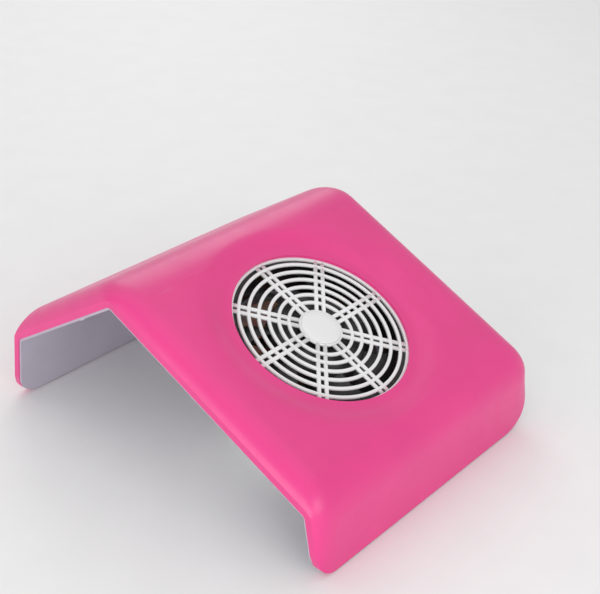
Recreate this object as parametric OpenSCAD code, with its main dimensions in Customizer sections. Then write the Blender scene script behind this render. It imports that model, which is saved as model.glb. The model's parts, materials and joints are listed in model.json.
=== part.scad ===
// Desktop nail dust collector: a bent arch shell on two short walls, with an axial fan
// under a round grille in the long slope and a dust bag below it.
// Millimetres. X runs across from the short roof side to the fan side, Y runs from the
// front opening to the back one, Z is up. The origin is the middle of the footprint.

/* [Body] */
// Width over both feet
body_w = 290; // [284:1:300]
// Depth from the front lip to the back lip
body_d = 230; // [226:1:236]
// Height of the inner corner over the left wall
wall_l_h = 50.5; // [46:0.5:54]
// Height of the inner corner over the right wall
wall_r_h = 42.7; // [40:0.1:46]
// Splay of the left wall's inner face
splay_l = 7.5; // [6:0.5:9]
// Splay of the right wall's inner face
splay_r = 11.5; // [10:0.5:13]
// Slope of the short roof side
roof_a = 33.4; // [32:0.1:35]
// Slope of the fan side
slope_a = 24.2; // [23:0.1:25]
// Width of the flat lip round both openings of the arch
lip_w = 4.8; // [4:0.1:5.5]
// Thickness of the arch at the middle of its depth
roof_t = 15.5; // [15:0.5:17]
// Wall thickness of the shell
skin = 2.4; // [2:0.1:2.6]
// Depth over which the lip swells to the full thickness
edge_run = 16; // [14:1:18]
// Radius of the feet's front corners
foot_front_r = 16; // [12:1:20]
// Radius of the feet's back corners
foot_back_r = 27; // [22:1:30]

/* [Grille and dish] */
// Distance of the fan's axis from the middle, on the arch's inner face
fan_x = 45.5; // [44:0.5:48]
// Place of the fan's axis behind the middle
fan_y = -4.5; // [-6:0.5:0]
// Radius of the shell's opening over the grille
open_r = 62.3; // [62:0.1:62.6]
// Radius where the soft dish starts
dish_r = 84; // [80:1:86]
// Radius where the dish reaches its flat bottom
dish_flat_r = 66; // [65:1:68]
// Depth of the dish
dish_depth = 5; // [4.5:0.1:5.5]
// Distance between the grille's rings
ring_pitch = 6.9; // [6.8:0.05:7]
// Number of rings between the rim and the middle disc
ring_count = 6; // [5:1:7]
// Width of a grille ring
ring_w = 2.4; // [2:0.1:2.8]
// Width of one bar of a double spoke
bar_w = 2.7; // [2.2:0.1:3]
// Gap between the two bars of a spoke
bar_gap = 2.4; // [2:0.1:3]

/* [Fan] */
// Width of the square fan frame
fan_w = 119.5; // [119:0.1:120]
// Thickness of the fan frame
fan_t = 25.4; // [25:0.1:26]
// Distance between the fan's screw holes
fan_hole_gap = 105; // [104:0.5:105]
// Radius of the fan's hub
hub_r = 34; // [32:0.5:36]
// Number of blades
blade_count = 7; // [5:1:9]
// Tilt of the blades
blade_a = 38; // [32:1:42]
// Radius of the rotor shaft
shaft_r = 1.5; // [1.5:0.1:1.6]

/* [Switch] */
// Full travel of the rocker
rocker_travel = 20; // [16:1:22]

/* [Hidden] */
$fn = 64;

// The rubber feet lift the shell off the table
foot_h = 0.8;
foot_l = 26;
foot_w = 3.6;
foot_y = 76;
// Draft of the walls' outer faces
wall_draft = 2.5;
// Slope of the swelling edge where it leaves the lip
edge_a = 68;
// Room at the back of the lip before the shell is hollow
lip_step = 0.6;
// Corner radii of the section at the lip: left, crest, right
lip_corner_r = [6, 9, 9];
// Corner radii of the section at full thickness
mid_corner_r = [42, 42, 30];
// Steps in each part of the section
arc_steps = 5;
roof_steps = 3;
slope_steps = 14;
mid_rows = 16;

// Inner liner
liner_t = 1.6;
liner_inset = 0.8;
liner_gap = 0.05;
liner_r = 4;
// Levels above the arch's inner face on the fan side
grille_top = 7.9;
grille_t = 2.3;
gasket_t = 1;
fan_top = grille_top - grille_t - gasket_t;
fan_bottom = fan_top - fan_t;
box_top = -liner_gap - liner_t;
box_wall = 2;
box_in = 61;
box_out = box_in + box_wall;
box_bottom = fan_bottom - box_wall;
box_flange = 70;
flange_t = 2;
// Back compartment of the fan box
bay_x = 36;
bay_y = 112;
// Places of the liner's screw posts, down the slope, down the roof and from the middle
post_slope_x = [-66, 72];
post_roof_x = 62;
post_y = 96;
gasket_hole_r = 58.2;
disc_r = 15.4;
rim_w = 1.2;
bay_bottom = -25.7;
// Collar that the bag is pulled over
collar_r = 58;
collar_t = 2.4;
collar_h = 10;
bead_r = 1.4;
outlet_r = 56;
// Rocker switch and mains inlet, as places in the back panel
switch_x = 15;
inlet_x = -16;
panel_h = -13;
pivot_y = bay_y - 1;
pin_r = 1.2;
// Screws
screw_r = 1.5;
screw_head_r = 2.9;
screw_head_t = 1.8;
wire_r = 0.9;
knee_r = 1;
eps = 0.02;

inner_foot_x = body_w / 2 - lip_w;
corner_l = [-inner_foot_x + wall_l_h * tan(splay_l), wall_l_h];
corner_r = [inner_foot_x - wall_r_h * tan(splay_r), wall_r_h];
fan_z = corner_r[1] + (corner_r[0] - fan_x) * tan(slope_a);
hull_fn = 32;

// ---- Section of the arch ----

function mix(a, b, t) = a + (b - a) * t;
function along(a) = [cos(a), sin(a)];
function outward(a) = [-sin(a), cos(a)];
function cross2(p, q) = p[0] * q[1] - p[1] * q[0];
function meet(p, a, q, b) = p + along(a) * cross2(q - p, along(b)) / cross2(along(a), along(b));
function reversed(list) = [for (i = [len(list) - 1:-1:0]) list[i]];

// Directions of the four sides, walking from the left foot over the crest to the right foot
function side_angles(swell) = [
    90 - mix(splay_l, wall_draft, swell),
    roof_a,
    -slope_a,
    mix(splay_r, wall_draft, swell) - 90];

// Both feet and the three corners, with the walls and the roof moved outward
function corners(wall_off, roof_off, a) =
    let (foot = inner_foot_x + wall_off)
    let (pl = corner_l + roof_off * outward(a[1]))
    let (pr = corner_r + roof_off * outward(a[2]))
    [[-foot, 0],
     meet([-foot, 0], a[0], pl, a[1]),
     meet(pl, a[1], pr, a[2]),
     meet(pr, a[2], [foot, 0], a[3]),
     [foot, 0]];

// Arc that rounds a corner between two directions
function arc(corner, a, b, r) =
    let (start = corner - along(a) * r * tan((a - b) / 2) - outward(a) * r)
    [for (k = [0:arc_steps]) start + r * outward(mix(a, b, k / arc_steps))];

function between(p, q, steps) = [for (k = [1:steps - 1]) mix(p, q, k / steps)];
function at_height(foot, a, z) = foot + along(a) * z / sin(a);

// Whole section from one foot to the other; heights are the levels of the foot's own points
function section(wall_off, roof_off, swell, radii, heights) =
    let (a = side_angles(swell), c = corners(wall_off, roof_off, a))
    let (left = arc(c[1], a[0], a[1], radii[0]))
    let (crest = arc(c[2], a[1], a[2], radii[1]))
    let (right = arc(c[3], a[2], a[3], radii[2]))
    concat(
        [for (z = heights) at_height(c[0], a[0], z)],
        left,
        between(left[arc_steps], crest[0], roof_steps),
        crest,
        between(crest[arc_steps], right[0], slope_steps),
        right,
        [for (z = reversed(heights)) at_height(c[4], a[3], z)]);

// How far the arch has swollen, 0 at the lip and 1 beyond the edge
function swell_at(s) =
    let (t = asin(sin(edge_a) * max(0, 1 - s / edge_run)))
    (cos(t) - cos(edge_a)) / (1 - cos(edge_a));

// Level of the foot's lower edge at a distance from the front or back
function foot_level(s, r) = foot_h + (s < r ? r - sqrt(r * r - (r - s) * (r - s)) : 0);

// Depth of the dish at a point of the section
function ease(t) = t * t * (3 - 2 * t);
function dish_at(p, y) =
    let (run = norm([(p - [fan_x, fan_z]) * along(-slope_a), y - fan_y]))
    dish_depth * ease(min(1, max(0, (dish_r - run) / (dish_r - dish_flat_r))));

function dished(points, y) = [for (p = points)
    let (q = p - outward(-slope_a) * (p[0] > corner_l[0] ? dish_at(p, y) : 0)) [q[0], y, q[1]]];

// Distances from an edge at which the shell has a row of points
edge_rows = [0, skin, skin + lip_step, 6, 10, edge_run, foot_back_r];
// Foot points above the foot's lower edge
foot_steps = [0, skin, skin + lip_step];
mid_half = body_d / 2 - foot_back_r;

row_y = concat(
    [for (s = edge_rows) s - body_d / 2],
    between(-mid_half, mid_half, mid_rows),
    [for (s = reversed(edge_rows)) body_d / 2 - s]);
row_count = len(row_y);

function edge_distance(y) = body_d / 2 - abs(y);
function row_heights(y) =
    let (level = foot_level(edge_distance(y), y < 0 ? foot_front_r : foot_back_r))
    [for (step = foot_steps) level + step];

function outer_row(y) =
    let (swell = swell_at(edge_distance(y)))
    dished(section(lip_w, mix(lip_w, roof_t, swell), swell,
        mix(lip_corner_r, mid_corner_r, swell), row_heights(y)), y);

function lip_row(y) =
    [for (p = section(0, 0, 0, lip_corner_r / 2, row_heights(y))) [p[0], y, p[1]]];

function hollow_row(y) =
    let (swell = swell_at(edge_distance(y)))
    dished(section(lip_w - skin, mix(lip_w, roof_t, swell) - skin, swell,
        mix(lip_corner_r, mid_corner_r, swell) - [1, 1, 1] * skin, row_heights(y)), y);

// The inner face is the lip round the edges and the hollow inside it
function inner_row(y) =
    let (lip = lip_row(y), hollow = hollow_row(y), last = len(lip) - 1)
    [for (i = [0:last])
        edge_distance(y) > skin + eps && i > 1 && i < last - 1 ? hollow[i] : lip[i]];

// Closed skin between an outer and an inner grid of points
module grid_skin(outer, inner) {
    rows = len(outer);
    cols = len(outer[0]);
    size = rows * cols;
    points = concat([for (row = outer) each row], [for (row = inner) each row]);
    function at(i, j) = i * cols + j;
    faces = concat(
        [for (i = [0:rows - 2]) for (j = [0:cols - 2]) each [
            [at(i, j), at(i + 1, j), at(i + 1, j + 1)],
            [at(i, j), at(i + 1, j + 1), at(i, j + 1)],
            [size + at(i, j), size + at(i + 1, j + 1), size + at(i + 1, j)],
            [size + at(i, j), size + at(i, j + 1), size + at(i + 1, j + 1)]]],
        [for (j = [0:cols - 2]) each [
            [at(0, j), at(0, j + 1), size + at(0, j + 1)],
            [at(0, j), size + at(0, j + 1), size + at(0, j)],
            [at(rows - 1, j), size + at(rows - 1, j + 1), at(rows - 1, j + 1)],
            [at(rows - 1, j), size + at(rows - 1, j), size + at(rows - 1, j + 1)]]],
        [for (i = [0:rows - 2]) each [
            [at(i, 0), size + at(i + 1, 0), at(i + 1, 0)],
            [at(i, 0), size + at(i, 0), size + at(i + 1, 0)],
            [at(i, cols - 1), at(i + 1, cols - 1), size + at(i + 1, cols - 1)],
            [at(i, cols - 1), size + at(i + 1, cols - 1), size + at(i, cols - 1)]]]);
    polyhedron(points, faces);
}

// ---- Places ----

// Frame of the fan side: X down the slope, Z out of the arch, origin under the grille
module on_slope(level = 0) {
    translate([fan_x, fan_y, fan_z]) rotate([0, slope_a, 0]) translate([0, 0, level]) children();
}

// Frame of the short roof side, at a distance down from the crest
module on_roof(run) {
    crest = corners(0, 0, side_angles(0))[2];
    p = crest - along(roof_a) * run;
    translate([p[0], 0, p[1]]) rotate([0, -roof_a, 0]) children();
}

// The screws that hold the liner to the shell
module at_liner_screws() {
    for (side = [-1, 1]) {
        for (x = post_slope_x)
            on_slope() translate([x, side * post_y - fan_y, 0]) children();
        on_roof(post_roof_x) translate([0, side * post_y, 0]) children();
    }
}

module at_corners(gap) {
    for (x = [-1, 1]) for (y = [-1, 1]) translate([x * gap / 2, y * gap / 2, 0]) children();
}

module ring(outer, inner, height) {
    difference() {
        cylinder(r = outer, h = height);
        translate([0, 0, -1]) cylinder(r = inner, h = height + 2);
    }
}

// Square plate with round corners
module plate(width, r, height) {
    side = width - 2 * r;
    translate([-side / 2, -width / 2, 0]) cube([side, width, height]);
    translate([-width / 2, -side / 2, 0]) cube([width, side, height]);
    at_corners(side) cylinder(r = r, h = height);
}

// Cross-head screw that points up, with its head's top at level 0
module screw(length, r = screw_r, head_r = screw_head_r) {
    difference() {
        union() {
            translate([0, 0, -screw_head_t]) cylinder(r1 = head_r * 0.8, r2 = head_r, h = screw_head_t);
            cylinder(r = r, h = length);
        }
        for (turn = [0, 90])
            translate([0, 0, -screw_head_t]) rotate(turn)
                cube([head_r * 1.1, 0.6, 1.6], center = true);
    }
}

// Insulated wire along straight stretches with round knees
module wire(points) {
    for (i = [0:len(points) - 2]) {
        d = points[i + 1] - points[i];
        translate(points[i])
            rotate([0, acos(d[2] / norm(d)), atan2(d[1], d[0])])
                cylinder(r = wire_r, h = norm(d), $fn = 16);
    }
    for (i = [1:1:len(points) - 2]) translate(points[i]) sphere(r = knee_r, $fn = 16);
}

// ---- Casing ----

module upper_shell() {
    color([0.88, 0.25, 0.54]) difference() {
        union() {
            grid_skin([for (y = row_y) outer_row(y)], [for (y = row_y) inner_row(y)]);
            // Screw posts
            at_liner_screws() cylinder(r = 3.4, h = roof_t - skin + 0.5, $fn = hull_fn);
        }
        on_slope() cylinder(r = open_r, h = roof_t + 5, $fn = 96);
        at_liner_screws() translate([0, 0, -1]) cylinder(r = screw_r, h = 9, $fn = hull_fn);
    }
}

// Outline of the liner's sheet, pushed in from the arch's inner face
function liner_line(off, r) =
    section(-off, -off, 0, [r, r, r], [foot_h]);

module liner_sheet() {
    line = concat(
        liner_line(liner_gap, liner_r),
        reversed(liner_line(liner_gap + liner_t, liner_r - liner_t)));
    depth = body_d - 2 * liner_inset;
    translate([0, depth / 2, 0]) rotate([90, 0, 0]) linear_extrude(depth) polygon(line);
}

// Removes the feet's lower corner at one end
module foot_corner(r, side) {
    edge = side * (body_d / 2 - liner_inset);
    rotate([90, 0, 90]) translate([0, 0, -body_w]) linear_extrude(2 * body_w)
        difference() {
            translate([edge - (side > 0 ? r : 1), foot_h - 1]) square([r + 1, r + 1]);
            translate([edge - side * r, foot_h + r]) circle(r = r);
        }
}

module lower_liner() {
    color([0.62, 0.6, 0.65]) difference() {
        liner_sheet();
        foot_corner(foot_front_r - liner_inset, -1);
        foot_corner(foot_back_r - liner_inset, 1);
        // Opening for the fan and the wires' bay
        on_slope(-5) translate([-box_in, -box_in, 0]) cube([2 * box_in, 2 * box_in, 10]);
        at_liner_screws() translate([0, 0, -5]) cylinder(r = screw_r + 0.2, h = 10);
        on_slope(-5) at_corners(2 * box_flange - 10) cylinder(r = screw_r, h = 10);
    }
}

module fan_box() {
    color([0.6, 0.58, 0.63]) on_slope() difference() {
        union() {
            translate([0, 0, box_top - flange_t]) plate(2 * box_flange, 6, flange_t);
            translate([0, 0, box_bottom]) plate(2 * box_out, 4, box_top - box_bottom);
            // Bay for the switch, the inlet and the wires
            translate([-bay_x, 0, bay_bottom]) cube([2 * bay_x, bay_y, box_top - bay_bottom]);
        }
        translate([0, 0, fan_bottom]) plate(2 * box_in, 3, 40);
        translate([0, 0, bay_bottom - 1]) cylinder(r = outlet_r, h = 30);
        translate([0, 0, bay_bottom - 1]) plate(2 * box_out + 2 * eps, 4, box_bottom - bay_bottom + 1);
        translate([box_wall - bay_x, box_out, bay_bottom + box_wall])
            cube([2 * (bay_x - box_wall), bay_y - box_out - box_wall, 40]);
        // Way for the wires from the bay to the fan
        translate([-4, box_in - 1, panel_h - 3]) cube([8, 4, 6]);
        translate([switch_x - 9.6, bay_y - 5, panel_h - 6.6]) cube([19.2, 10, 13.2]);
        translate([inlet_x - 9.6, bay_y - 5, panel_h - 6.1]) cube([19.2, 10, 12.2]);
        translate([0, 0, box_bottom - 1]) at_corners(fan_hole_gap) cylinder(r = 2.2, h = 10);
        translate([0, 0, -10]) at_corners(2 * box_flange - 10) cylinder(r = screw_r + 0.2, h = 12);
    }
}

module outlet_collar() {
    color([0.6, 0.58, 0.63]) on_slope(box_bottom - collar_h) {
        ring(collar_r + collar_t, collar_r, collar_h);
        rotate_extrude($fn = 96) translate([collar_r + collar_t, bead_r]) circle(r = bead_r, $fn = 24);
    }
}

// ---- Grille ----

module intake_grille() {
    rim_in = open_r - 0.3 - rim_w;
    color([0.9, 0.9, 0.9]) on_slope(grille_top - grille_t) difference() {
        union() {
            ring(dish_flat_r - 0.2, rim_in, grille_t);
            for (k = [1:ring_count]) {
                r = disc_r + ring_pitch * k;
                ring(r + ring_w / 2, r - ring_w / 2, grille_t);
            }
            for (turn = [0:45:135]) for (side = [-1, 1])
                rotate(turn) translate([0, side * (bar_w + bar_gap) / 2, grille_t / 2])
                    cube([2 * rim_in + 1, bar_w, grille_t], center = true);
            cylinder(r = disc_r, h = grille_t);
        }
        // Seat for the badge
        translate([0, 0, grille_t - 0.8]) cylinder(r = disc_r - 1.2, h = 2);
    }
}

module grille_badge() {
    color([0.91, 0.91, 0.91]) on_slope(grille_top - 0.8) {
        cylinder(r = disc_r - 1.3, h = 0.9);
        translate([0, 0, 0.9]) cylinder(r1 = disc_r - 1.3, r2 = disc_r - 1.7, h = 0.3);
    }
}

module fan_gasket() {
    color([0.2, 0.2, 0.2]) on_slope(fan_top) difference() {
        plate(fan_w, 5, gasket_t);
        translate([0, 0, -1]) cylinder(r = gasket_hole_r, h = 3);
        at_corners(fan_hole_gap) translate([0, 0, -1]) cylinder(r = 3, h = 3);
    }
}

// ---- Fan ----

// Radius of the fan's air passage
duct_r = 57.5;
duct_wall = 1.9;
fan_flange_t = 4;
// Plate that holds the motor, at the fan's outlet side
base_t = 2;
base_r = hub_r - 1;
tube_r = 5.4;
bearing_r = 3.6;
bearing_h = 4;
hub_top = fan_top - 2.2;
hub_bottom = fan_bottom + base_t + 1.4;
hub_wall = 2;
tube_top = hub_top - 6.5;

module fan_frame() {
    color([0.06, 0.06, 0.07]) on_slope() difference() {
        union() {
            translate([0, 0, fan_bottom]) difference() {
                union() {
                    plate(fan_w, 5, fan_flange_t);
                    translate([0, 0, fan_t - fan_flange_t]) plate(fan_w, 5, fan_flange_t);
                    cylinder(r = duct_r + duct_wall, h = fan_t);
                }
                translate([0, 0, -1]) cylinder(r = duct_r, h = fan_t + 2, $fn = 96);
            }
            // Struts, motor plate and bearing tube
            for (turn = [45:90:315]) rotate(turn)
                translate([base_r - 2, -2.5, fan_bottom]) cube([duct_r - base_r + 3, 5, base_t + 0.8]);
            translate([0, 0, fan_bottom]) cylinder(r = base_r, h = base_t);
            translate([0, 0, fan_bottom]) cylinder(r = tube_r, h = tube_top - fan_bottom);
        }
        translate([0, 0, fan_bottom + base_t]) cylinder(r = bearing_r, h = fan_t);
        translate([0, 0, fan_bottom - 1]) at_corners(fan_hole_gap) cylinder(r = 2.15, h = fan_t + 2);
    }
}

// Poles of the stator, round the bearing tube
pole_count = 8;
pole_r = hub_r - hub_wall - 3.2;
core_t = 7;
core_level = (hub_top + hub_bottom) / 2 - core_t / 2;

module stator_core() {
    color([0.55, 0.56, 0.58]) on_slope(core_level) {
        ring(tube_r + 5.5, tube_r, core_t);
        for (k = [0:pole_count - 1]) rotate(k * 360 / pole_count) {
            translate([tube_r + 4, -2, 0]) cube([pole_r - tube_r - 5.5, 4, core_t]);
            intersection() {
                ring(pole_r, pole_r - 2, core_t);
                translate([pole_r - 6, -8, 0]) cube([12, 16, core_t]);
            }
        }
    }
}

module stator_coils() {
    coil_x = tube_r + 6.5;
    color([0.72, 0.4, 0.2]) on_slope(core_level)
        for (k = [0:pole_count - 1]) rotate(k * 360 / pole_count) difference() {
            translate([coil_x, -4.2, -2.2]) cube([pole_r - 3 - coil_x, 8.4, core_t + 4.4]);
            translate([coil_x - 1, -2, 0]) cube([pole_r, 4, core_t]);
        }
}

module fan_bearings() {
    color([0.75, 0.75, 0.77]) on_slope()
        for (level = [fan_bottom + base_t, tube_top - bearing_h])
            translate([0, 0, level]) ring(bearing_r, shaft_r + 0.03, bearing_h);
}

module fan_impeller() {
    blade_h = hub_top - hub_bottom;
    tip_r = duct_r - 1.2;
    color([0.12, 0.12, 0.13]) on_slope() {
        difference() {
            translate([0, 0, hub_bottom]) cylinder(r = hub_r, h = blade_h);
            translate([0, 0, hub_bottom - 1]) cylinder(r = hub_r - hub_wall, h = blade_h - hub_wall + 1);
        }
        difference() {
            translate([0, 0, tube_top + 0.6]) cylinder(r = 4.5, h = hub_top - tube_top - 1.6);
            translate([0, 0, tube_top]) cylinder(r = shaft_r, h = 4.5);
        }
        for (k = [0:blade_count - 1]) rotate(k * 360 / blade_count) intersection() {
            translate([0, 0, hub_bottom + 0.5]) ring(tip_r, hub_r - 0.6, blade_h - 1);
            translate([(hub_r + tip_r) / 2, 0, (hub_top + hub_bottom) / 2]) rotate([blade_a, 0, 0])
                cube([tip_r - hub_r + 8, 34, 1.8], center = true);
        }
    }
}

module rotor_ring() {
    color([0.5, 0.5, 0.52]) on_slope(hub_bottom + 0.8)
        ring(hub_r - hub_wall, hub_r - hub_wall - 2, hub_top - hub_bottom - 4);
}

module rotor_shaft() {
    color([0.8, 0.8, 0.82]) on_slope() difference() {
        translate([0, 0, fan_bottom + base_t + 0.4])
            cylinder(r = shaft_r, h = tube_top + 4.5 - fan_bottom - base_t - 0.4);
        // Groove for the clip
        translate([0, 0, fan_bottom + base_t + bearing_h + 0.5]) ring(3, shaft_r - 0.3, 0.6);
    }
}

module shaft_clip() {
    color([0.35, 0.35, 0.37]) on_slope(fan_bottom + base_t + bearing_h + 0.5) difference() {
        ring(3, shaft_r - 0.3, 0.6);
        translate([0, -0.8, -1]) cube([4, 1.6, 3]);
    }
}

// ---- Bag ----

module dust_bag() {
    bag_bottom_r = 13;
    color([0.93, 0.93, 0.92]) hull() {
        on_slope(box_bottom - collar_h - 3.5) cylinder(r = collar_r, h = 3, $fn = hull_fn);
        for (x = [10, 80]) for (y = [-36, 36])
            translate([x, y, bag_bottom_r + 1.2]) sphere(r = bag_bottom_r, $fn = 24);
    }
}

module bag_elastic() {
    color([0.85, 0.85, 0.84]) on_slope(box_bottom - collar_h + 2 * bead_r + 1)
        ring(collar_r + collar_t + 1.6, collar_r + collar_t, 3.6);
}

// ---- Screws ----

module fan_screws() {
    color([0.7, 0.7, 0.72]) on_slope(box_bottom) at_corners(fan_hole_gap) screw(9, 2, 3.8);
}

module box_screws() {
    color([0.7, 0.7, 0.72]) on_slope(box_top - flange_t) at_corners(2 * box_flange - 10) screw(5);
}

module liner_screws() {
    color([0.7, 0.7, 0.72]) at_liner_screws() translate([0, 0, box_top]) screw(8);
}

// ---- Switch and inlet ----

cavity_x = 8.9;
cavity_z = 5;

module on_panel(x) {
    on_slope() translate([x, 0, panel_h]) children();
}

module switch_housing() {
    color([0.08, 0.08, 0.08]) on_panel(switch_x) difference() {
        union() {
            translate([-10.5, bay_y, -7.5]) cube([21, 2, 15]);
            translate([-9.5, bay_y - 14, -6.5]) cube([19, 14 + eps, 13]);
        }
        translate([-cavity_x, pivot_y - 3.6, -cavity_z]) cube([2 * cavity_x, 10, 2 * cavity_z]);
        translate([0, pivot_y, -6.1]) cylinder(r = pin_r + 0.05, h = 12.2);
    }
}

module switch_rocker() {
    color([0.1, 0.1, 0.1]) on_panel(switch_x) translate([0, pivot_y, 0]) rotate(-rocker_travel / 2) {
        translate([0, 0, 0.4 - cavity_z]) linear_extrude(2 * cavity_z - 0.8)
            polygon([[-7.4, -1.5], [7.4, -1.5], [8, 3.6], [4, 3], [0, 2.8], [-4, 3], [-8, 3.6]]);
        translate([0, 0, -6]) cylinder(r = pin_r, h = 12);
    }
}

module switch_terminals() {
    color([0.8, 0.65, 0.3]) on_panel(switch_x) for (x = [-5, 5])
        translate([x - 0.4, bay_y - 21, -2.4]) cube([0.8, 7, 4.8]);
}

inlet_pin_gap = 8.6;

module power_inlet() {
    color([0.09, 0.09, 0.09]) on_panel(inlet_x) difference() {
        union() {
            translate([-12, bay_y, -7.5]) cube([24, 2, 15]);
            translate([-9.5, bay_y - 17, -6]) cube([19, 17 + eps, 12]);
        }
        // Figure-of-eight socket
        for (x = [-1, 1]) translate([x * inlet_pin_gap / 2, bay_y + 3, 0]) rotate([90, 0, 0])
            cylinder(r = 3.9, h = 16);
        translate([-inlet_pin_gap / 2, bay_y - 13, -2.6]) cube([inlet_pin_gap, 16, 5.2]);
    }
}

module inlet_pins() {
    color([0.8, 0.65, 0.3]) on_panel(inlet_x) for (x = [-1, 1]) {
        translate([x * inlet_pin_gap / 2, bay_y - 1, 0]) rotate([90, 0, 0]) cylinder(r = 1.2, h = 12);
        translate([x * inlet_pin_gap / 2 - 0.4, bay_y - 24, -2.4]) cube([0.8, 7, 4.8]);
    }
}

module wire_live() {
    color([0.45, 0.25, 0.15]) on_panel(0) wire([
        [inlet_x + inlet_pin_gap / 2, bay_y - 24, 0], [inlet_x + inlet_pin_gap / 2, bay_y - 31, 0],
        [switch_x - 5, bay_y - 31, 0], [switch_x - 5, bay_y - 21, 0]]);
}

module wire_switched() {
    color([0.1, 0.1, 0.1]) on_panel(0) wire([
        [switch_x + 5, bay_y - 21.7, 0], [0.6, box_in - 0.5, 0]]);
}

module wire_neutral() {
    color([0.2, 0.3, 0.6]) on_panel(0) wire([
        [inlet_x - inlet_pin_gap / 2, bay_y - 24, 0], [inlet_x - inlet_pin_gap / 2, bay_y - 34, 0],
        [-2, bay_y - 38, 0], [-2, box_in - 0.5, 0]]);
}

// ---- Feet ----

module rubber_feet() {
    color([0.15, 0.15, 0.15]) for (x = [-1, 1]) for (y = [-1, 1])
        translate([x * (body_w / 2 - lip_w / 2), y * foot_y, foot_h / 2])
            cube([foot_w, foot_l, foot_h], center = true);
}

upper_shell();
lower_liner();
intake_grille();
grille_badge();
fan_gasket();
fan_frame();
stator_core();
stator_coils();
fan_bearings();
fan_impeller();
rotor_ring();
rotor_shaft();
shaft_clip();
fan_box();
outlet_collar();
dust_bag();
bag_elastic();
fan_screws();
box_screws();
liner_screws();
switch_housing();
switch_rocker();
switch_terminals();
power_inlet();
inlet_pins();
wire_live();
wire_switched();
wire_neutral();
rubber_feet();
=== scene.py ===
"""Nail dust collector: a pink arch shell with a recessed grille, fan and dust bag.

Everything is in the CAD model's frame. Design sizes are in millimetres and turned into
metres where points are made. Local slope coordinates have X down the fan side, Z out of it.
"""
import json
import math
import random

import bmesh
import bpy
from mathutils import Matrix, Vector, noise


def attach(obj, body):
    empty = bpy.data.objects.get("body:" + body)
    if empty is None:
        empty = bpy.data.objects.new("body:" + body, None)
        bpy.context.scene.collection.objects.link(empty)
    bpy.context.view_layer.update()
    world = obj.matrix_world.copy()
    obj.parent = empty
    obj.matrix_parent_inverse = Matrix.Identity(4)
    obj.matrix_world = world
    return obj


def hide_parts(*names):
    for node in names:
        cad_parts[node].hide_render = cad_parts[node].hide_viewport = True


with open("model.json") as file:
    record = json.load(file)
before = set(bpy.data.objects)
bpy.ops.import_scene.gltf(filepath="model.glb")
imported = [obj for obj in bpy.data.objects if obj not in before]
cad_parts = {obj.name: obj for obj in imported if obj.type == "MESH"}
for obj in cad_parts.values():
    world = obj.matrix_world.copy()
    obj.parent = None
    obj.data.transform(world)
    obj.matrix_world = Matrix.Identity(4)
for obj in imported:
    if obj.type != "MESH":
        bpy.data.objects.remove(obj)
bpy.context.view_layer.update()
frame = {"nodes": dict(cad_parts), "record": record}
nodes = frame["nodes"]
MM = 0.001

# ---------------------------------------------------------------- camera

CAMERA_AT = Vector((465.1, -519.4, 481.7)) * MM
CAMERA_TARGET = Vector((-32.5, 68.9, 50.0)) * MM
CAMERA_ROLL = math.radians(1.8)

camera_data = bpy.data.cameras.new("camera")
camera_data.lens = 70.1
camera_data.sensor_width = 36
camera_data.clip_start = 0.01
camera = bpy.data.objects.new("camera", camera_data)
bpy.context.scene.collection.objects.link(camera)
aim = (CAMERA_TARGET - CAMERA_AT).to_track_quat("-Z", "Y").to_matrix().to_4x4()
camera.matrix_world = Matrix.Translation(CAMERA_AT) @ aim @ Matrix.Rotation(CAMERA_ROLL, 4, "Z")
bpy.context.scene.camera = camera

# ---------------------------------------------------------------- the arch's design

BODY_W, BODY_D = 290, 230
WALL_L_H, WALL_R_H = 50.5, 42.7
SPLAY_L, SPLAY_R = math.radians(7.5), math.radians(11.5)
ROOF_A, SLOPE_A = math.radians(33.4), math.radians(24.2)
WALL_DRAFT = math.radians(2.5)
LIP_W, ROOF_T, SKIN = 4.8, 15.5, 2.4
EDGE_RUN, EDGE_A = 16, math.radians(68)
FOOT_FRONT_R, FOOT_BACK_R, FOOT_H = 16, 27, 0.8
LIP_CORNER_R = (6, 9, 9)
MID_CORNER_R = (42, 42, 30)
FAN_X, FAN_Y = 45.5, -4.5
OPEN_R, DISH_R, DISH_FLAT_R, DISH_DEPTH = 62.3, 84, 66, 5

FOOT_X = BODY_W / 2 - LIP_W
CORNER_L = Vector((-FOOT_X + WALL_L_H * math.tan(SPLAY_L), WALL_L_H))
CORNER_R = Vector((FOOT_X - WALL_R_H * math.tan(SPLAY_R), WALL_R_H))
FAN_Z = CORNER_R.y + (CORNER_R.x - FAN_X) * math.tan(SLOPE_A)
FAN_AT = Vector((FAN_X, FAN_Z))
SLOPE = Matrix.Translation(Vector((FAN_X, FAN_Y, FAN_Z)) * MM) @ Matrix.Rotation(SLOPE_A, 4, "Y")


def mix(a, b, t):
    return a + (b - a) * t


def along(a):
    return Vector((math.cos(a), math.sin(a)))


def outward(a):
    return Vector((-math.sin(a), math.cos(a)))


def meet(p, a, q, b):
    """Where the line through p at angle a crosses the one through q at angle b."""
    d, e, gap = along(a), along(b), q - p
    return p + d * ((gap.x * e.y - gap.y * e.x) / (d.x * e.y - d.y * e.x))


def arc(corner, a, b, r, steps):
    start = corner - along(a) * r * math.tan((a - b) / 2) - outward(a) * r
    return [start + r * outward(mix(a, b, k / steps)) for k in range(steps + 1)]


def between(p, q, shares):
    return [mix(p, q, t) for t in shares]


def swell_at(s):
    """How far the arch has swollen from its lip, 0 to 1, at a distance s from the opening."""
    t = math.asin(math.sin(EDGE_A) * max(0, 1 - s / EDGE_RUN))
    return (math.cos(t) - math.cos(EDGE_A)) / (1 - math.cos(EDGE_A))


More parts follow.
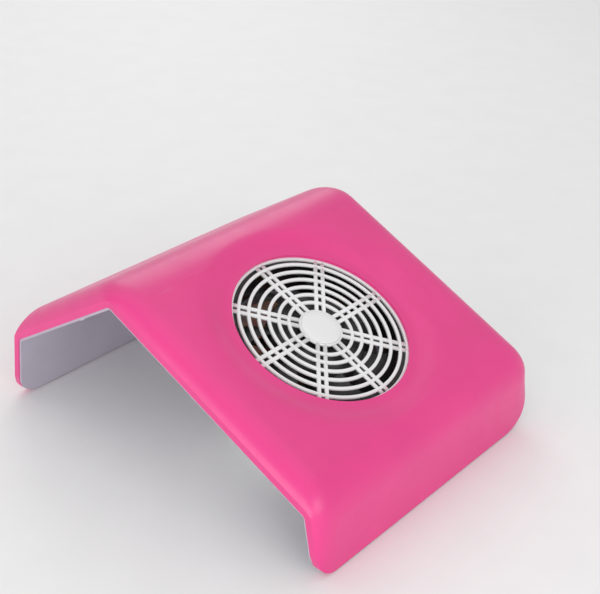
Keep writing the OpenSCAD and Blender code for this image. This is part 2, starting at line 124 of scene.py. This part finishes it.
def foot_level(y):
    r = FOOT_FRONT_R if y < 0 else FOOT_BACK_R
    s = BODY_D / 2 - abs(y)
    return FOOT_H + (r - math.sqrt(r * r - (r - s) ** 2) if s < r else 0)


def dish_at(run):
    t = min(1, max(0, (DISH_R - run) / (DISH_R - DISH_FLAT_R)))
    return DISH_DEPTH * t * t * (3 - 2 * t)


# Steps of the grid across the section
ARC_STEPS, CREST_STEPS, ROOF_STEPS, WALL_STEPS = 12, 16, 10, 6
FOOT_STEPS = (0, 1.2, 2.4, 3.0)
# Square round the grille whose inside is a round mesh
PATCH, PATCH_CELLS = 72, 36


def slope_shares(start, end):
    """Shares of the slope between its two corners, with even cells across the patch."""
    low, high = ((p - FAN_AT).dot(along(-SLOPE_A)) for p in (start, end))
    cells = [mix(-PATCH, PATCH, k / PATCH_CELLS) for k in range(PATCH_CELLS + 1)]
    return [(x - low) / (high - low) for x in cells]


def side_angles(swell):
    return (
        math.pi / 2 - mix(SPLAY_L, WALL_DRAFT, swell),
        ROOF_A,
        -SLOPE_A,
        mix(SPLAY_R, WALL_DRAFT, swell) - math.pi / 2,
    )


def corner_arcs(wall_off, roof_off, swell, radii):
    """The feet's points at the table and the rounded corners of one section."""
    a = side_angles(swell)
    foot = FOOT_X + wall_off
    feet = (Vector((-foot, 0)), Vector((foot, 0)))
    roof = CORNER_L + roof_off * outward(a[1])
    slope = CORNER_R + roof_off * outward(a[2])
    left = arc(meet(feet[0], a[0], roof, a[1]), a[0], a[1], radii[0], ARC_STEPS)
    crest = arc(meet(roof, a[1], slope, a[2]), a[1], a[2], radii[1], CREST_STEPS)
    right = arc(meet(slope, a[2], feet[1], a[3]), a[2], a[3], radii[2], ARC_STEPS)
    return a, feet, left, crest, right


def mid_shares():
    *_, crest, right = corner_arcs(LIP_W, ROOF_T, 1, MID_CORNER_R)
    return slope_shares(crest[-1], right[0])


SLOPE_SHARES = mid_shares()
FIRST_PATCH_COLUMN = len(FOOT_STEPS) + WALL_STEPS - 1 + ARC_STEPS + 1 + ROOF_STEPS - 1 + CREST_STEPS + 1


def section(wall_off, roof_off, swell, radii, level):
    """Points (x, z) of one section, from the left foot over the crest to the right foot."""
    a, feet, left, crest, right = corner_arcs(wall_off, roof_off, swell, radii)
    walls = []
    for foot, angle, top in ((feet[0], a[0], left[0]), (feet[1], a[3], right[-1])):
        low = [foot + along(angle) * (level + h) / math.sin(angle) for h in FOOT_STEPS]
        rise = between(low[-1], top, [k / WALL_STEPS for k in range(1, WALL_STEPS)])
        walls.append(low + rise)
    roof = between(left[-1], crest[0], [k / ROOF_STEPS for k in range(1, ROOF_STEPS)])
    slope = between(crest[-1], right[0], SLOPE_SHARES)
    return walls[0] + left + roof + crest + slope + right + walls[1][::-1]


def dished(points, y):
    made = []
    for p in points:
        run = math.hypot((p - FAN_AT).dot(along(-SLOPE_A)), y - FAN_Y)
        deep = dish_at(run) if p.x > CORNER_L.x else 0
        q = p - outward(-SLOPE_A) * deep
        made.append(Vector((q.x, y, q.y)) * MM)
    return made


# Distances from an opening at which there is a row, and the ones that the inner face uses
EDGE_ROWS = (0, 1.4, 2.9, 4.4, 6.4, 9, 12.4, 16, 21, 27, 33)
INNER_EDGE_ROWS = (0, 1.2, 2.4, 3.0, 6.4, 9, 12.4, 16, 21, 27, 33)
LIP_ROWS = LIP_COLUMNS = 3


def row_places(edge_rows):
    half = BODY_D / 2
    patch = [FAN_Y + mix(-PATCH, PATCH, k / PATCH_CELLS) for k in range(PATCH_CELLS + 1)]
    return [s - half for s in edge_rows] + patch + [half - s for s in edge_rows[::-1]]


def mixed_radii(swell, thinner=0):
    return [mix(a, b, swell) - thinner for a, b in zip(LIP_CORNER_R, MID_CORNER_R)]


def outer_row(y):
    swell = swell_at(BODY_D / 2 - abs(y))
    line = section(LIP_W, mix(LIP_W, ROOF_T, swell), swell, mixed_radii(swell), foot_level(y))
    return dished(line, y)


def inner_row(y, on_lip):
    swell = swell_at(BODY_D / 2 - abs(y))
    lip = [Vector((p.x, y, p.y)) * MM
           for p in section(0, 0, 0, [r / 2 for r in LIP_CORNER_R], foot_level(y))]
    if on_lip:
        return lip
    roof = mix(LIP_W, ROOF_T, swell) - SKIN
    hollow = dished(section(LIP_W - SKIN, roof, swell, mixed_radii(swell, SKIN), foot_level(y)), y)
    last = len(lip) - LIP_COLUMNS
    return [hollow[j] if LIP_COLUMNS <= j < last else lip[j] for j in range(len(lip))]


def slope_point(x, y, level):
    return SLOPE @ (Vector((x, y, level)) * MM)


def new_object(name, bm, smooth=True):
    """A mesh object from a bmesh, with its faces turned outward."""
    bmesh.ops.recalc_face_normals(bm, faces=bm.faces)
    mesh = bpy.data.meshes.new(name)
    bm.to_mesh(mesh)
    bm.free()
    mesh.polygons.foreach_set("use_smooth", [smooth] * len(mesh.polygons))
    made = bpy.data.objects.new(name, mesh)
    bpy.context.scene.collection.objects.link(made)
    return made


def bevel(obj, width, segments=3, angle=30):
    """Rounds an object's edges by a width in millimetres."""
    made = obj.modifiers.new("bevel", "BEVEL")
    made.width = width * MM
    made.segments = segments
    made.limit_method = "ANGLE"
    made.angle_limit = math.radians(angle)
    made.use_clamp_overlap = True
    weighted = obj.modifiers.new("weighted_normals", "WEIGHTED_NORMAL")
    weighted.keep_sharp = False


# Shares between the opening's circle and the patch's square
PATCH_RINGS = (0, 0.09, 0.2, 0.36, 0.54, 0.76)


def add_sheet(bm, rows, first_row, face_level):
    """Grid of points as a sheet with the round opening; gives its vertices and the rim's."""
    last_row, first, last = first_row + PATCH_CELLS, FIRST_PATCH_COLUMN, FIRST_PATCH_COLUMN + PATCH_CELLS

    def inside(i, j):
        return first_row < i < last_row and first < j < last

    verts = [[None if inside(i, j) else bm.verts.new(p) for j, p in enumerate(row)]
             for i, row in enumerate(rows)]
    for i in range(len(rows) - 1):
        for j in range(len(rows[0]) - 1):
            if first_row <= i < last_row and first <= j < last:
                continue
            bm.faces.new((verts[i][j], verts[i][j + 1], verts[i + 1][j + 1], verts[i + 1][j]))
    border = [(first_row, j) for j in range(first, last)]
    border += [(i, last) for i in range(first_row, last_row)]
    border += [(last_row, j) for j in range(last, first, -1)]
    border += [(i, first) for i in range(last_row, first_row, -1)]
    rings = []
    for share in PATCH_RINGS:
        ring = []
        for i, j in border:
            x = mix(-PATCH, PATCH, (j - first) / PATCH_CELLS)
            y = mix(-PATCH, PATCH, (i - first_row) / PATCH_CELLS)
            edge = Vector((x, y)).normalized() * OPEN_R
            p = mix(edge, Vector((x, y)), share)
            ring.append(bm.verts.new(slope_point(p.x, p.y, face_level - dish_at(p.length))))
        rings.append(ring)
    rings.append([verts[i][j] for i, j in border])
    join_rings(bm, rings)
    return verts, rings[0]


def join_rings(bm, rings, closed=True):
    """Faces between loops of vertices that have the same count."""
    for low, high in zip(rings, rings[1:]):
        count = len(low)
        for k in range(count if closed else count - 1):
            n = (k + 1) % count
            bm.faces.new((low[k], low[n], high[n], high[k]))


def make_shell():
    bm = bmesh.new()
    outer_y, inner_y = row_places(EDGE_ROWS), row_places(INNER_EDGE_ROWS)
    last = len(outer_y) - LIP_ROWS
    first_row = len(EDGE_ROWS)
    outer, outer_rim = add_sheet(bm, [outer_row(y) for y in outer_y], first_row, ROOF_T)
    inner_rows = [inner_row(y, not LIP_ROWS <= i < last) for i, y in enumerate(inner_y)]
    inner, inner_rim = add_sheet(bm, inner_rows, first_row, ROOF_T - SKIN)
    join_rings(bm, [outer_rim, inner_rim])
    for i in (0, -1):
        join_rings(bm, [outer[i], inner[i]], closed=False)
    for j in (0, -1):
        join_rings(bm, [[row[j] for row in outer], [row[j] for row in inner]], closed=False)
    shell = new_object("shell_pink", bm)
    bevel(shell, 0.7, 3, 19)
    return shell


# ---------------------------------------------------------------- round and straight pieces


def rounded_profile(inner, outer, low, high, r, steps=3):
    """Closed rounded-rectangle profile of (radius, level) points."""
    points = []
    corners = ((outer - r, high - r, 0), (inner + r, high - r, 90), (inner + r, low + r, 180), (outer - r, low + r, 270))
    for x, z, turn in corners:
        for k in range(steps + 1):
            a = math.radians(turn + 90 * k / steps)
            points.append((x + r * math.cos(a), z + r * math.sin(a)))
    return points


def add_ring(bm, profile, place, segments=128):
    """Revolves a closed profile about the local Z axis."""
    loops = []
    for k in range(segments):
        a = math.tau * k / segments
        loops.append([bm.verts.new(place @ (Vector((r * math.cos(a), r * math.sin(a), z)) * MM))
                      for r, z in profile])
    join_rings(bm, loops + [loops[0]])


def add_lathe(bm, profile, place, segments=96):
    """Revolves an open profile whose ends lie on the axis, closed by two fans."""
    loops = [[bm.verts.new(place @ (Vector((r * math.cos(a), r * math.sin(a), z)) * MM))
              for a in (math.tau * k / segments for k in range(segments))] for r, z in profile[1:-1]]
    join_rings(bm, loops)
    for loop, (_, z) in ((loops[0], profile[0]), (loops[-1], profile[-1])):
        tip = bm.verts.new(place @ (Vector((0, 0, z)) * MM))
        for k in range(segments):
            bm.faces.new((tip, loop[k], loop[(k + 1) % segments]))


def add_bar(bm, place, x0, x1, width, low, high, r):
    """Straight bar along local X with rounded long edges."""
    profile = rounded_profile(-width / 2, width / 2, low, high, r)
    ends = [[bm.verts.new(place @ (Vector((x, y, z)) * MM)) for y, z in profile] for x in (x0, x1)]
    join_rings(bm, ends)
    for end in ends:
        bm.faces.new(end)


GRILLE_TOP, GRILLE_T = 7.9, 2.3
RING_PITCH, RING_COUNT, RING_W = 6.9, 6, 2.4
DISC_R, RIM_W = 15.4, 1.2
BAR_W, BAR_GAP = 2.7, 2.4
RIM_R = OPEN_R - 0.3


def make_grille():
    bm = bmesh.new()
    low = GRILLE_TOP - GRILLE_T
    add_ring(bm, rounded_profile(RIM_R - RIM_W, DISH_FLAT_R - 0.2, low, GRILLE_TOP, 0.4), SLOPE, 160)
    for k in range(1, RING_COUNT + 1):
        r = DISC_R + RING_PITCH * k
        add_ring(bm, rounded_profile(r - RING_W / 2, r + RING_W / 2, low, GRILLE_TOP, 0.75), SLOPE)
    for turn in range(8):
        place = SLOPE @ Matrix.Rotation(math.radians(45 * turn), 4, "Z")
        for side in (-1, 1):
            moved = place @ Matrix.Translation(Vector((0, side * (BAR_W + BAR_GAP) / 2, 0)) * MM)
            add_bar(bm, moved, DISC_R - 2, RIM_R - 0.5, BAR_W, low + 0.05, GRILLE_TOP - 0.05, 0.75)
    top = GRILLE_TOP
    disc = [(0, low), (DISC_R - 0.6, low), (DISC_R, low + 0.6), (DISC_R, top - 0.7), (DISC_R - 0.25, top - 0.2),
            (DISC_R - 0.7, top), (DISC_R - 1.2, top), (DISC_R - 1.35, top - 0.35), (0, top - 0.35)]
    add_lathe(bm, disc, SLOPE)
    return new_object("grille", bm)


def make_badge():
    bm = bmesh.new()
    top = GRILLE_TOP + 0.35
    r = DISC_R - 1.5
    profile = [(0, GRILLE_TOP - 0.3), (r, GRILLE_TOP - 0.3), (r, top - 0.45), (r - 0.15, top - 0.15),
               (r - 0.5, top), (r * 0.6, top + 0.12), (r * 0.3, top + 0.16), (0, top + 0.17)]
    add_lathe(bm, profile, SLOPE)
    return new_object("grille_blank_badge", bm)


# ---------------------------------------------------------------- fan

FAN_TOP = GRILLE_TOP - GRILLE_T - 1
FAN_BOTTOM = FAN_TOP - 25.4
DUCT_R, HUB_R, HUB_WALL = 57.5, 34, 2
HUB_TOP, HUB_BOTTOM = FAN_TOP - 2.2, FAN_BOTTOM + 3.4
BLADES = 7


def add_blade(bm, place):
    """One twisted, cambered blade from the hub to the tip."""
    spans, chords = 10, 12
    upper, lower = [], []
    for i in range(spans + 1):
        share = i / spans
        r = mix(HUB_R - 0.8, DUCT_R - 1.3, share)
        pitch = math.radians(mix(46, 27, share))
        chord = mix(26, 33, share)
        sweep = math.radians(14) * share * share
        faces = ([], [])
        for j in range(chords + 1):
            c = j / chords - 0.5
            run = chord * c
            camber = 2.6 * (1 - 4 * c * c)
            thick = mix(0.9, 0.55, share) * math.sqrt(max(0.02, 1 - (2 * c) ** 4))
            for side, face in ((1, faces[0]), (-1, faces[1])):
                h = run * math.sin(pitch) + (camber + side * thick) * math.cos(pitch)
                t = run * math.cos(pitch) - (camber + side * thick) * math.sin(pitch)
                level = min(HUB_TOP - 0.4, max(HUB_BOTTOM + 0.4, (HUB_TOP + HUB_BOTTOM) / 2 + h - 1.2))
                a = t / r + sweep
                face.append(bm.verts.new(place @ (Vector((r * math.cos(a), r * math.sin(a), level)) * MM)))
        upper.append(faces[0])
        lower.append(faces[1])
    join_rings(bm, [u + d[::-1] for u, d in zip(upper, lower)])
    for end in (0, -1):
        for j in range(chords):
            bm.faces.new((upper[end][j], upper[end][j + 1], lower[end][j + 1], lower[end][j]))


def make_impeller():
    bm = bmesh.new()
    hub = [(0, HUB_TOP - 0.2), (6, HUB_TOP - 0.2), (6.6, HUB_TOP), (HUB_R - 4, HUB_TOP), (HUB_R - 1.6, HUB_TOP - 0.5),
           (HUB_R - 0.5, HUB_TOP - 1.6), (HUB_R, HUB_TOP - 3.4), (HUB_R, HUB_BOTTOM), (HUB_R - HUB_WALL, HUB_BOTTOM),
           (HUB_R - HUB_WALL, HUB_TOP - 3), (4.5, HUB_TOP - 3), (4.5, HUB_TOP - 5.5), (0, HUB_TOP - 5.5)]
    add_lathe(bm, hub, SLOPE)
    for k in range(BLADES):
        add_blade(bm, SLOPE @ Matrix.Rotation(math.tau * k / BLADES + 0.35, 4, "Z"))
    return new_object("impeller", bm)


# ---------------------------------------------------------------- dust bag

COLLAR_OUT = 60.4
BOX_BOTTOM = FAN_BOTTOM - 2
COLLAR_BOTTOM = BOX_BOTTOM - 10
BAG_STEPS = 144
BAG_FLOOR = 1.6
BAG_AT = Vector((48, 0))
BAG_HALF = Vector((46, 46))
BAG_R = 13


def bag_outline(a):
    """Rounded-square outline of the bag's bottom."""
    c, s = math.cos(a), math.sin(a)
    shrink = (abs(c) ** 3.4 + abs(s) ** 3.4) ** (-1 / 3.4)
    return Vector((BAG_AT.x + BAG_HALF.x * shrink * c, BAG_AT.y + BAG_HALF.y * shrink * s))


def wrinkle(p, scale, seed):
    return noise.noise(Vector((p.x, p.y, p.z)) * scale + Vector((seed, seed * 1.7, -seed)))


def bag_ring(kind, share):
    """One loop of the bag: on the collar, down its side, or across its bottom."""
    loop = []
    for k in range(BAG_STEPS):
        a = math.tau * k / BAG_STEPS
        pleat = math.sin(30 * a + 2.2 * math.sin(3 * a)) * 0.5 + math.sin(47 * a + 1) * 0.3
        if kind == "collar":
            r = COLLAR_OUT + 0.9 + 0.5 * (1 + pleat) * abs(share - 0.45) + (1.5 if share > 0.75 else 0)
            level = mix(BOX_BOTTOM - 1.5, COLLAR_BOTTOM - 1.6, share)
            loop.append(slope_point(r * math.cos(a), r * math.sin(a), level))
            continue
        mouth = slope_point((COLLAR_OUT + 0.6) * math.cos(a), (COLLAR_OUT + 0.6) * math.sin(a), COLLAR_BOTTOM - 3)
        low = bag_outline(a)
        if kind == "side":
            bulge = 7 * math.sin(math.pi * share) ** 0.8
            out = Vector((math.cos(a), math.sin(a), 0))
            foot = Vector((low.x, low.y, BAG_FLOOR + BAG_R)) * MM
            p = mouth.lerp(foot, share) + out * bulge * MM
            p += out * (1.5 * pleat * (1 - share) ** 1.6) * MM
            p += out * 3.2 * MM * wrinkle(p / MM, 0.045, 3) * math.sin(math.pi * share)
            loop.append(p)
            continue
        turn = share * math.pi / 2
        inset = BAG_R * (1 - math.cos(turn)) if kind == "hem" else mix(BAG_R, BAG_HALF.x, share)
        pulled = low - (low - BAG_AT) * inset / BAG_HALF.x
        z = BAG_FLOOR + (BAG_R * (1 - math.sin(turn)) if kind == "hem" else 0)
        loop.append(Vector((pulled.x, pulled.y, z)) * MM)
    return loop


def make_bag():
    bm = bmesh.new()
    loops = [bag_ring("collar", k / 6) for k in range(7)]
    loops += [bag_ring("side", k / 18) for k in range(19)]
    loops += [bag_ring("hem", k / 6) for k in range(1, 7)]
    loops += [bag_ring("bottom", k / 9) for k in range(1, 9)]
    rings = [[bm.verts.new(p) for p in loop] for loop in loops]
    join_rings(bm, rings)
    middle = bm.verts.new(Vector((BAG_AT.x, BAG_AT.y, BAG_FLOOR)) * MM)
    for k in range(BAG_STEPS):
        bm.faces.new((middle, rings[-1][k], rings[-1][(k + 1) % BAG_STEPS]))
    return new_object("bag_cloth", bm)


def crumple_bag(bag):
    """Lets the cloth puff and crease by simulation, with its mouth held and its moves capped."""
    rest = [v.co.copy() for v in bag.data.vertices]
    held = bag.vertex_groups.new(name="held")
    collar = 8 * BAG_STEPS
    held.add(list(range(collar)), 1, "REPLACE")
    cloth = bag.modifiers.new("cloth", "CLOTH")
    settings = cloth.settings
    settings.quality = 5
    settings.mass = 0.08
    settings.tension_stiffness = settings.compression_stiffness = 12
    settings.bending_stiffness = 0.15
    settings.shrink_min = -0.035
    settings.use_pressure = True
    settings.uniform_pressure_force = 2.2
    settings.vertex_group_mass = "held"
    settings.effector_weights.gravity = 0
    scene = bpy.context.scene
    for number in range(1, 19):
        scene.frame_set(number)
    settled = bag.evaluated_get(bpy.context.evaluated_depsgraph_get()).data
    moved = [v.co.copy() for v in settled.vertices]
    bag.modifiers.remove(cloth)
    scene.frame_set(1)
    cap = 7 * MM
    for vertex, start, end in zip(bag.data.vertices, rest, moved):
        step = end - start
        if step.length > cap:
            step *= cap / step.length
        place = start + step
        place.z = max(place.z, BAG_FLOOR * MM)
        vertex.co = place


def make_hem():
    """Gathered hem of the bag with the elastic in it, round the collar."""
    bm = bmesh.new()
    steps, sides = 288, 12
    level = BOX_BOTTOM - 4.6
    loops = []
    for k in range(steps):
        a = math.tau * k / steps
        gather = 1 + 0.22 * math.sin(52 * a + 1.5 * math.sin(5 * a)) + 0.12 * math.sin(87 * a)
        loop = []
        for j in range(sides):
            b = math.tau * j / sides
            r = COLLAR_OUT + 2.1 + 0.95 * gather * math.cos(b)
            z = level + 2.3 * (0.9 + 0.1 * gather) * math.sin(b)
            loop.append(bm.verts.new(slope_point(r * math.cos(a), r * math.sin(a), z)))
        loops.append(loop)
    join_rings(bm, loops + [loops[0]])
    return new_object("bag_hem", bm)


# ---------------------------------------------------------------- materials


def node_tree(name):
    material = bpy.data.materials.new(name)
    material.use_nodes = True
    tree = material.node_tree
    return material, tree, tree.nodes["Principled BSDF"]


def add(tree, kind, **inputs):
    made = tree.nodes.new(kind)
    for key, value in inputs.items():
        made.inputs[key.replace("_", " ")].default_value = value
    return made


def noise_field(tree, scale, detail=4.0, roughness=0.5):
    place = tree.nodes.new("ShaderNodeTexCoord")
    field = add(tree, "ShaderNodeTexNoise", Scale=scale, Detail=detail, Roughness=roughness)
    tree.links.new(place.outputs["Object"], field.inputs["Vector"])
    return field


def remap(tree, source, low, high):
    made = add(tree, "ShaderNodeMapRange", From_Min=0.3, From_Max=0.7, To_Min=low, To_Max=high)
    tree.links.new(source, made.inputs["Value"])
    return made.outputs["Result"]


def tinted(tree, source, color, spread):
    """The colour with a small drift in lightness along a field."""
    ramp = tree.nodes.new("ShaderNodeValToRGB")
    ramp.color_ramp.elements[0].position = 0.32
    ramp.color_ramp.elements[1].position = 0.68
    ramp.color_ramp.elements[0].color = [*(c * (1 - spread) for c in color), 1]
    ramp.color_ramp.elements[1].color = [*(min(1, c * (1 + spread)) for c in color), 1]
    tree.links.new(source, ramp.inputs["Fac"])
    return ramp.outputs["Color"]


def bump_from(tree, shader, source, strength, depth):
    bump = add(tree, "ShaderNodeBump", Strength=strength, Distance=depth)
    tree.links.new(source, bump.inputs["Height"])
    tree.links.new(bump.outputs["Normal"], shader.inputs["Normal"])


def plastic(name, color, rough, grain=1400.0, relief=0.12, spread=0.04, coat=0.0, specular=0.5):
    """Moulded plastic: faint drift of colour and sheen, and a fine moulded grain."""
    material, tree, shader = node_tree(name)
    broad = noise_field(tree, 26.0, 3.0)
    tree.links.new(tinted(tree, broad.outputs["Fac"], color, spread), shader.inputs["Base Color"])
    fine = noise_field(tree, grain, 3.0)
    patchy = noise_field(tree, 90.0, 5.0, 0.6)
    tree.links.new(remap(tree, patchy.outputs["Fac"], rough - 0.045, rough + 0.045), shader.inputs["Roughness"])
    bump_from(tree, shader, fine.outputs["Fac"], relief, 0.00012)
    shader.inputs["Coat Weight"].default_value = coat
    shader.inputs["Coat Roughness"].default_value = 0.25
    shader.inputs["Specular IOR Level"].default_value = specular
    return material


def metal(name, color, rough, streaks=(900.0, 900.0, 40.0)):
    """Metal with fine drawn streaks."""
    material, tree, shader = node_tree(name)
    place = tree.nodes.new("ShaderNodeTexCoord")
    stretch = tree.nodes.new("ShaderNodeMapping")
    stretch.inputs["Scale"].default_value = streaks
    tree.links.new(place.outputs["Object"], stretch.inputs["Vector"])
    field = add(tree, "ShaderNodeTexNoise", Scale=1.0, Detail=4.0)
    tree.links.new(stretch.outputs["Vector"], field.inputs["Vector"])
    tree.links.new(tinted(tree, field.outputs["Fac"], color, 0.1), shader.inputs["Base Color"])
    tree.links.new(remap(tree, field.outputs["Fac"], rough - 0.08, rough + 0.1), shader.inputs["Roughness"])
    bump_from(tree, shader, field.outputs["Fac"], 0.15, 0.00005)
    shader.inputs["Metallic"].default_value = 1.0
    return material


def nonwoven(name, color, pitch):
    """Spun-bonded cloth: random fibres pressed by a regular grid of small bond points."""
    material, tree, shader = node_tree(name)
    place = tree.nodes.new("ShaderNodeTexCoord")
    dots = add(tree, "ShaderNodeTexVoronoi", Scale=1 / pitch, Randomness=0.0)
    tree.links.new(place.outputs["Object"], dots.inputs["Vector"])
    fibres = noise_field(tree, 2600.0, 6.0, 0.75)
    clouds = noise_field(tree, 60.0, 4.0)
    tree.links.new(tinted(tree, clouds.outputs["Fac"], color, 0.05), shader.inputs["Base Color"])
    mixed = tree.nodes.new("ShaderNodeMath")
    mixed.operation = "MULTIPLY_ADD"
    mixed.inputs[1].default_value = 0.6
    tree.links.new(fibres.outputs["Fac"], mixed.inputs[0])
    tree.links.new(dots.outputs["Distance"], mixed.inputs[2])
    bump_from(tree, shader, mixed.outputs["Value"], 0.55, 0.00025)
    shader.inputs["Roughness"].default_value = 0.9
    shader.inputs["Sheen Weight"].default_value = 0.25
    shader.inputs["Sheen Roughness"].default_value = 0.5
    shader.inputs["Subsurface Weight"].default_value = 0.35
    shader.inputs["Subsurface Scale"].default_value = 0.004
    return material


def foam(name, color):
    material, tree, shader = node_tree(name)
    cells = add(tree, "ShaderNodeTexVoronoi", Scale=1500.0)
    place = tree.nodes.new("ShaderNodeTexCoord")
    tree.links.new(place.outputs["Object"], cells.inputs["Vector"])
    tree.links.new(tinted(tree, cells.outputs["Distance"], color, 0.4), shader.inputs["Base Color"])
    bump_from(tree, shader, cells.outputs["Distance"], 0.8, 0.0004)
    shader.inputs["Roughness"].default_value = 0.95
    return material


FINISHES = {
    "pink_shell": plastic("pink_abs", (0.74, 0.042, 0.235), 0.36, 900.0, 0.05, 0.03, 0.12),
    "grey_liner": plastic("grey_abs", (0.46, 0.42, 0.5), 0.55, 1100.0, 0.2, 0.04),
    "grille_white": plastic("white_abs", (0.78, 0.78, 0.785), 0.38, 1200.0, 0.06, 0.02),
    "black_fan": plastic("black_nylon", (0.012, 0.012, 0.013), 0.42, 1300.0, 0.15, 0.2),
    "fan_rotor": plastic("dark_nylon", (0.035, 0.034, 0.036), 0.4, 1300.0, 0.15, 0.15),
    "foam": foam("gasket_foam", (0.04, 0.04, 0.042)),
    "steel": metal("plated_steel", (0.62, 0.62, 0.64), 0.28),
    "magnet": metal("sintered_magnet", (0.2, 0.2, 0.21), 0.5),
    "copper": metal("enamelled_copper", (0.7, 0.33, 0.12), 0.35, (60.0, 60.0, 3200.0)),
    "brass": metal("plated_brass", (0.8, 0.62, 0.28), 0.25),
    "bag_cloth": nonwoven("nonwoven_cloth", (0.82, 0.82, 0.81), 0.0016),
    "elastic": nonwoven("elastic_hem", (0.78, 0.78, 0.77), 0.0011),
    "switch_black": plastic("switch_nylon", (0.014, 0.014, 0.015), 0.3, 1500.0, 0.08, 0.2),
    "wire_brown": plastic("brown_pvc", (0.16, 0.06, 0.03), 0.45),
    "wire_black": plastic("black_pvc", (0.02, 0.02, 0.02), 0.45),
    "wire_blue": plastic("blue_pvc", (0.03, 0.08, 0.33), 0.45),
    "rubber": plastic("foot_rubber", (0.03, 0.03, 0.031), 0.75, 2200.0, 0.3, 0.2),
}


def paint(obj, slot):
    obj.data.materials.clear()
    obj.data.materials.append(FINISHES[slot])


for part in frame["record"]["subparts"]:
    part_object = nodes[part["node"]]
    part_object.data.materials.clear()
    part_object.data.materials.append(FINISHES[part["material_slot"]])


def soften(name, width):
    """Small rounded edges on a CAD part."""
    weld = nodes[name].modifiers.new("weld", "WELD")
    weld.merge_threshold = 0.004 * MM
    bevel(nodes[name], width, 2, 35)


for part_name, edge in (("lower_liner", 0.35), ("fan_box", 0.5), ("outlet_collar", 0.3), ("fan_frame", 0.3),
                        ("switch_housing", 0.3), ("switch_rocker", 0.35), ("power_inlet", 0.4), ("rubber_feet", 0.2)):
    soften(part_name, edge)

# ---------------------------------------------------------------- pieces

shell = make_shell()
paint(shell, "pink_shell")
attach(shell, "root")
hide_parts("upper_shell")

grille = make_grille()
paint(grille, "grille_white")
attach(grille, "root")
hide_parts("intake_grille")

badge = make_badge()
paint(badge, "grille_white")
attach(badge, "root")
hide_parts("grille_badge")

impeller = make_impeller()
paint(impeller, "fan_rotor")
bevel(impeller, 0.3, 2, 50)
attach(impeller, "rotor")
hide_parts("fan_impeller")

hem = make_hem()
paint(hem, "elastic")
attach(hem, "root")
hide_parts("bag_elastic")

bag = make_bag()
crumple_bag(bag)
paint(bag, "bag_cloth")
thickness = bag.modifiers.new("thickness", "SOLIDIFY")
thickness.thickness = 0.4 * MM
thickness.offset = 0
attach(bag, "root")
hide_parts("dust_bag")

# ---------------------------------------------------------------- stage and light

floor_mesh = bpy.data.meshes.new("floor")
HALF = 6.0
floor_mesh.from_pydata([(-HALF, -HALF, 0), (HALF, -HALF, 0), (HALF, HALF, 0), (-HALF, HALF, 0)], [], [(0, 1, 2, 3)])
floor = bpy.data.objects.new("floor", floor_mesh)
bpy.context.scene.collection.objects.link(floor)
floor.data.materials.append(plastic("pale_floor", (0.86, 0.86, 0.86), 0.6, 300.0, 0.02, 0.01))


def softbox(name, at, target, size, watts, color=(1, 1, 1)):
    data = bpy.data.lights.new(name, "AREA")
    data.shape = "RECTANGLE"
    data.size, data.size_y = size
    data.energy = watts
    data.color = color
    made = bpy.data.objects.new(name, data)
    bpy.context.scene.collection.objects.link(made)
    way = Vector(target) - Vector(at)
    made.matrix_world = Matrix.Translation(Vector(at)) @ way.to_track_quat("-Z", "Y").to_matrix().to_4x4()


softbox("overhead", (-0.3, 0.1, 1.5), (0, 0, 0.05), (1.8, 1.8), 4)
softbox("right_front", (1.3, -0.4, 0.6), (0.05, 0, 0.05), (1.0, 0.7), 5)
softbox("left_back", (-1.1, 0.9, 0.9), (0, 0, 0.08), (0.9, 0.9), 3)
softbox("under_front", (0.3, -1.2, 0.25), (-0.1, 0, 0.03), (1.4, 0.4), 6)

world = bpy.data.worlds.new("studio")
world.use_nodes = True
world.node_tree.nodes["Background"].inputs["Color"].default_value = (1, 1, 1, 1)
world.node_tree.nodes["Background"].inputs["Strength"].default_value = 0.66
bpy.context.scene.world = world
bpy.context.scene.view_settings.view_transform = "Standard"
